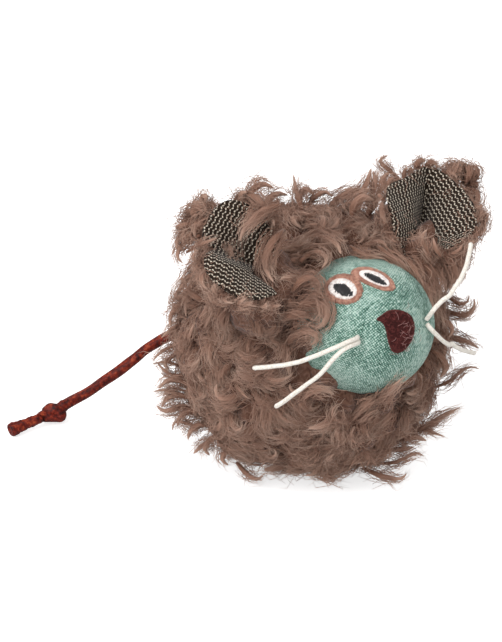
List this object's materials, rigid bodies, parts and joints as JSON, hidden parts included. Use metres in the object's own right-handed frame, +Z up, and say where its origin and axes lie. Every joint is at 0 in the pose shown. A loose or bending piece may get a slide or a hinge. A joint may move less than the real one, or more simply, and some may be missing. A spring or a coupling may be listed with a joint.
{
  "type": "plush mouse cat toy",
  "caption": "Round plush mouse cat toy with a linen face, folded tweed ears that lift, cotton whiskers and a knotted leather tail that swings.",
  "frame": {"origin": "centre of the flat face under the belly that the toy rests on", "axes": "+Z up, -Y the way the nose points, +X the toy's own left side"},
  "size_m": [0.144, 0.1203, 0.105],
  "materials": {
    "pile_fabric": "long curled pile in soft locks",
    "tweed": "herringbone weave of dark brown and cream yarn",
    "linen": "coarse plain weave, mint with pale flecks",
    "felt": "matted wool felt",
    "copper_thread": "satin stitch",
    "white_thread": "satin stitch",
    "black_thread": "satin stitch",
    "waxed_cotton": "smooth waxed round cord",
    "polyester_filling": "loose fibre",
    "rolled_leather": "satin, rolled with one long joint"
  },
  "bodies": {
    "body": {"fur_panel_left": "pile_fabric", "fur_panel_right": "pile_fabric", "fur_panel_belly": "pile_fabric", "face_panel": "linen", "nose_felt": "felt", "eye_ring_left": "copper_thread", "eye_ring_right": "copper_thread", "eye_white_left": "white_thread", "eye_white_right": "white_thread", "eye_pupil_left": "black_thread", "eye_pupil_right": "black_thread", "whisker_left_upper": "waxed_cotton", "whisker_left_lower": "waxed_cotton", "whisker_right_upper": "waxed_cotton", "whisker_right_lower": "waxed_cotton", "whisker_knot_left": "waxed_cotton", "whisker_knot_right": "waxed_cotton", "stuffing": "polyester_filling", "tail_root": "rolled_leather"},
    "ear_left": {"ear_lining_left": "tweed", "ear_back_left": "pile_fabric"},
    "ear_right": {"ear_lining_right": "tweed", "ear_back_right": "pile_fabric"},
    "tail": {"tail_cord": "rolled_leather", "tail_knot": "rolled_leather", "tail_end": "rolled_leather"}
  },
  "joints": [
    {"name": "ear_left_lift", "type": "hinge", "parent": "body", "child": "ear_left", "pos_m": [0.0303, -0.01958, 0.08373], "axis": [0.7237, -0.6542, -0.2196], "range_deg": [-5, 30], "stiffness_Nm_per_rad": 0.012},
    {"name": "ear_right_lift", "type": "hinge", "parent": "body", "child": "ear_right", "pos_m": [-0.0303, -0.01958, 0.08613], "axis": [0.7172, 0.558, 0.4175], "range_deg": [-5, 30], "stiffness_Nm_per_rad": 0.012},
    {"name": "tail_swing", "type": "hinge", "parent": "body", "child": "tail", "pos_m": [0, 0.0435, 0.0315], "axis": [0, 0, 1], "range_deg": [-120, 5]}
  ]
}
